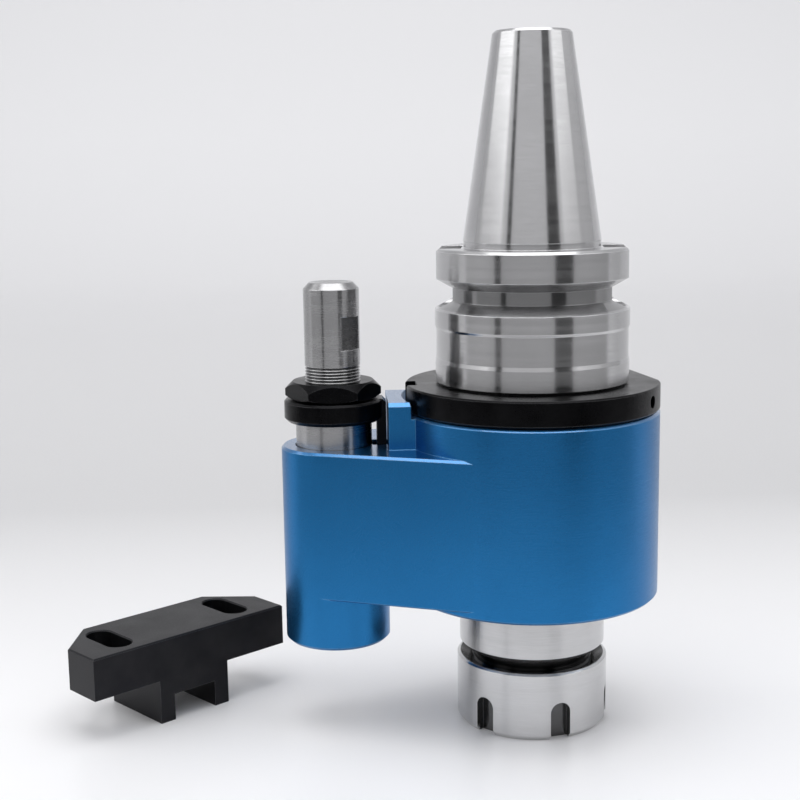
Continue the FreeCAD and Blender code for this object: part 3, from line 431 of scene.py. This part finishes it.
def seal_rubber(name):
    """Dull black rubber."""
    material, tree, shader = start(name)
    grain = noise(tree, place(tree), RUBBER_GRAIN_SCALE, detail=4.0)
    cloud = noise(tree, place(tree), RUBBER_CLOUD_SCALE)
    normal = rounded_normal(tree, SMALL_EDGE)
    first, second = RUBBER_TONES
    finish_surface(tree, shader, Base_Color=patches(tree, cloud, grey(first), grey(second)),
                   Roughness=spread(tree, grain, 0.5, 0.75),
                   Normal=bump(tree, grain, 0.4, RUBBER_DEPTH, normal))
    return material


ground = turned_steel("ground_steel", tone=0.60, rough=(0.18, 0.24), line_scale=5200.0,
                      hollows=SHANK_PAINTED_SHADE)
nut_steel = turned_steel("nut_steel", tone=0.64, rough=(0.18, 0.24), line_scale=4200.0,
                         hollows=NUT_PAINTED_SHADE)
# The stop pin's steel has a darker tone than the shank's: painted shade
shaded_pin_steel = turned_steel("shaded_pin_steel", tone=0.44, rough=(0.22, 0.30), line_scale=4200.0,
                         axis_x=PIN_AXIS_X, hollows=PIN_PAINTED_SHADE)
plain_steel = turned_steel("plain_steel", tone=0.50, rough=(0.26, 0.40), line_scale=3200.0)
boss_steel = turned_steel("boss_steel", tone=0.50, rough=(0.26, 0.40), line_scale=3200.0,
                          axis_x=PIN_AXIS_X)
polished = milled_steel("polished_steel", tone=0.70, rough=(0.12, 0.27))
spring_wire = milled_steel("spring_wire", tone=0.42, rough=(0.25, 0.40))
black = black_oxide("black_oxide", tones=(0.004, 0.009), edge_tone=0.09, specular=0.3, rough=(0.24, 0.34))
block_black = black_oxide("block_black", tones=(0.014, 0.022), edge_tone=0.10, specular=0.5,
                          rough=(0.32, 0.42))
blue = blue_anodised("blue_anodised")
brass = warm_metal("cage_brass", light=(0.70, 0.50, 0.20, 1), dark=(0.55, 0.38, 0.14, 1))
bronze = warm_metal("bush_bronze", light=(0.55, 0.34, 0.13, 1), dark=(0.42, 0.25, 0.09, 1),
                    axis_x=PIN_AXIS_X)
rubber = seal_rubber("seal_rubber")

finishes = {
    ground: ["taper_shank"],
    nut_steel: ["collet_nut"],
    shaded_pin_steel: ["stop_pin"],
    plain_steel: ["bearing_lock_nut", "seal_sleeve", "seal_carrier", "bottom_cap"],
    boss_steel: ["boss_plug"],
    polished: ["collet", "pressure_ring", "upper_bearing_inner_ring", "lower_bearing_inner_ring",
               "upper_bearing_outer_ring", "lower_bearing_outer_ring", "upper_bearing_balls",
               "lower_bearing_balls"],
    black: ["index_ring", "ring_set_screws", "pin_lock_nut", "key_collar", "backup_screw",
            "pin_retaining_ring"],
    block_black: ["stop_block"],
    blue: ["housing"],
    brass: ["upper_bearing_cage", "lower_bearing_cage"],
    bronze: ["guide_bush"],
    rubber: ["top_dirt_seal", "carrier_o_rings", "upper_shaft_seal", "lower_shaft_seal",
             "bottom_dirt_seal", "boss_plug_o_ring", "pin_seal"],
    spring_wire: ["pin_spring"],
}
for finish, names in finishes.items():
    for name in names:
        nodes[name].data.materials.clear()
        nodes[name].data.materials.append(finish)


# Spring

def working_spring():
    """Copy of the spring, attached to the housing with its own mesh, in place of the hidden original."""
    spring = new_object("pin_spring_coil", nodes["pin_spring"].data.copy())
    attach(spring, "housing")
    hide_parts("pin_spring")
    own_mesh(spring)


working_spring()


# Studio

def studio_white():
    """White with painted light and shade: dimmer round the object than beneath it, and paler again up the
    backdrop.
    """
    material, tree, shader = start("studio_white")
    x, y, _ = axis_offsets(tree, 0.0)
    reach = axis_radius(tree, x, y)
    # Painted shade on the floor in front of the object, and painted light and shade behind it
    dim = maths(tree, "ADD", ramp(tree, reach, *DIM_NEAR), ramp(tree, reach, *DIM_FAR))
    front = maths(tree, "MULTIPLY", dim, ramp(tree, y, *IN_FRONT))
    behind = maths(tree, "ADD", ramp(tree, y, *TONE_BEHIND), ramp(tree, y, *TONE_FAR_BEHIND))
    tone = maths(tree, "ADD", front, maths(tree, "ADD", behind, ramp(tree, y, *TONE_BACKDROP)))
    colour = add(tree, "ShaderNodeCombineColor")
    fill(tree, colour.inputs[0], tone)
    fill(tree, colour.inputs[1], tone)
    fill(tree, colour.inputs[2], maths(tree, "MULTIPLY", tone, COLD_TINT))
    speck = noise(tree, place(tree), FLOOR_SPECK_SCALE, detail=2.0)
    finish_surface(tree, shader, Base_Color=colour.outputs[0], Roughness=spread(tree, speck, 0.28, 0.36))
    return material


def sweep():
    """Floor that bends up into a backdrop."""
    profile = [(FLOOR_FRONT_Y, 0.0), (FLOOR_BACK_Y, 0.0)]
    for step in range(1, BEND_STEPS + 1):
        angle = math.pi / 2 * step / BEND_STEPS
        profile.append((FLOOR_BACK_Y + BEND_RADIUS * math.sin(angle), BEND_RADIUS * (1 - math.cos(angle))))
    profile.append((FLOOR_BACK_Y + BEND_RADIUS, BACKDROP_TOP))
    vertices = [(x, y, z) for y, z in profile for x in (-FLOOR_HALF_WIDTH, FLOOR_HALF_WIDTH)]
    faces = [(2 * k, 2 * k + 1, 2 * k + 3, 2 * k + 2) for k in range(len(profile) - 1)]
    mesh = bpy.data.meshes.new("floor")
    mesh.from_pydata(vertices, [], faces)
    for polygon in mesh.polygons:
        polygon.use_smooth = True
    floor = new_object("floor", mesh)
    mesh.materials.append(studio_white())


def camera():
    """Camera at the photograph's viewing angle."""
    data = bpy.data.cameras.new("camera")
    data.sensor_width = SENSOR_MM
    data.lens = CAMERA_FOCAL_PX / PICTURE_PX * SENSOR_MM
    thing = new_object("camera", data)
    bpy.context.scene.camera = thing
    turn = Matrix.Rotation(-CAMERA_AZIMUTH, 3, "Z")
    eye = turn @ Vector((0, -CAMERA_DISTANCE, CAMERA_HEIGHT))
    level = math.cos(CAMERA_PITCH)
    look = turn @ Vector((math.sin(CAMERA_YAW) * level, math.cos(CAMERA_YAW) * level,
                          -math.sin(CAMERA_PITCH)))
    right = look.cross(Vector((0, 0, 1))).normalized()
    up = right.cross(look)
    rolled_right = right * math.cos(CAMERA_ROLL) + up * math.sin(CAMERA_ROLL)
    rolled_up = up * math.cos(CAMERA_ROLL) - right * math.sin(CAMERA_ROLL)
    basis = Matrix((rolled_right, rolled_up, -look)).transposed().to_4x4()
    thing.matrix_world = Matrix.Translation(eye) @ basis


def dark_card(name, bearing, width):
    """Dark strip off camera that gives the steel its dark reflections."""
    angle = math.radians(bearing) - CAMERA_AZIMUTH
    direction = Vector((math.sin(angle), -math.cos(angle), 0))
    half = Vector((direction.y, -direction.x, 0)) * width / 2
    middle = direction * CARD_DISTANCE
    low = Vector((0, 0, CARD_LOW))
    high = Vector((0, 0, CARD_HIGH))
    corners = [middle - half + low, middle + half + low, middle + half + high, middle - half + high]
    mesh = bpy.data.meshes.new(name)
    mesh.from_pydata(corners, [], [(0, 1, 2, 3)])
    card = new_object(name, mesh)
    card.visible_camera = False
    card.visible_shadow = False
    material, tree, shader = start(name)
    speck = noise(tree, place(tree), CARD_SPECK_SCALE, detail=2.0)
    finish_surface(tree, shader, Base_Color=grey(CARD_TONE), Roughness=spread(tree, speck, 0.7, 0.9))
    mesh.materials.append(material)


def lamp(name, place_at, aim, width, height, power):
    """Soft rectangular lamp."""
    light = bpy.data.lights.new(name, "AREA")
    light.shape = "RECTANGLE"
    light.size = width
    light.size_y = height
    light.energy = power
    thing = new_object(name, light)
    thing.location = place_at
    thing.rotation_euler = (Vector(aim) - Vector(place_at)).to_track_quat("-Z", "Y").to_euler()


def room_light():
    """Pale room that is darker towards the horizon."""
    world = bpy.data.worlds.new("studio")
    world.use_nodes = True
    bpy.context.scene.world = world
    tree = world.node_tree
    background = tree.nodes["Background"]
    direction = add(tree, "ShaderNodeSeparateXYZ")
    wire(tree, add(tree, "ShaderNodeTexCoord").outputs["Generated"], direction.inputs[0])
    background.inputs["Color"].default_value = ROOM_COLOUR
    wire(tree, ramp(tree, direction.outputs[2], *ROOM_STRENGTH), background.inputs["Strength"])


sweep()
camera()
for name, values in CARDS.items():
    dark_card(name, *values)
for name, values in LAMPS.items():
    lamp(name, *values)
room_light()

bpy.context.scene.view_settings.view_transform = "Standard"
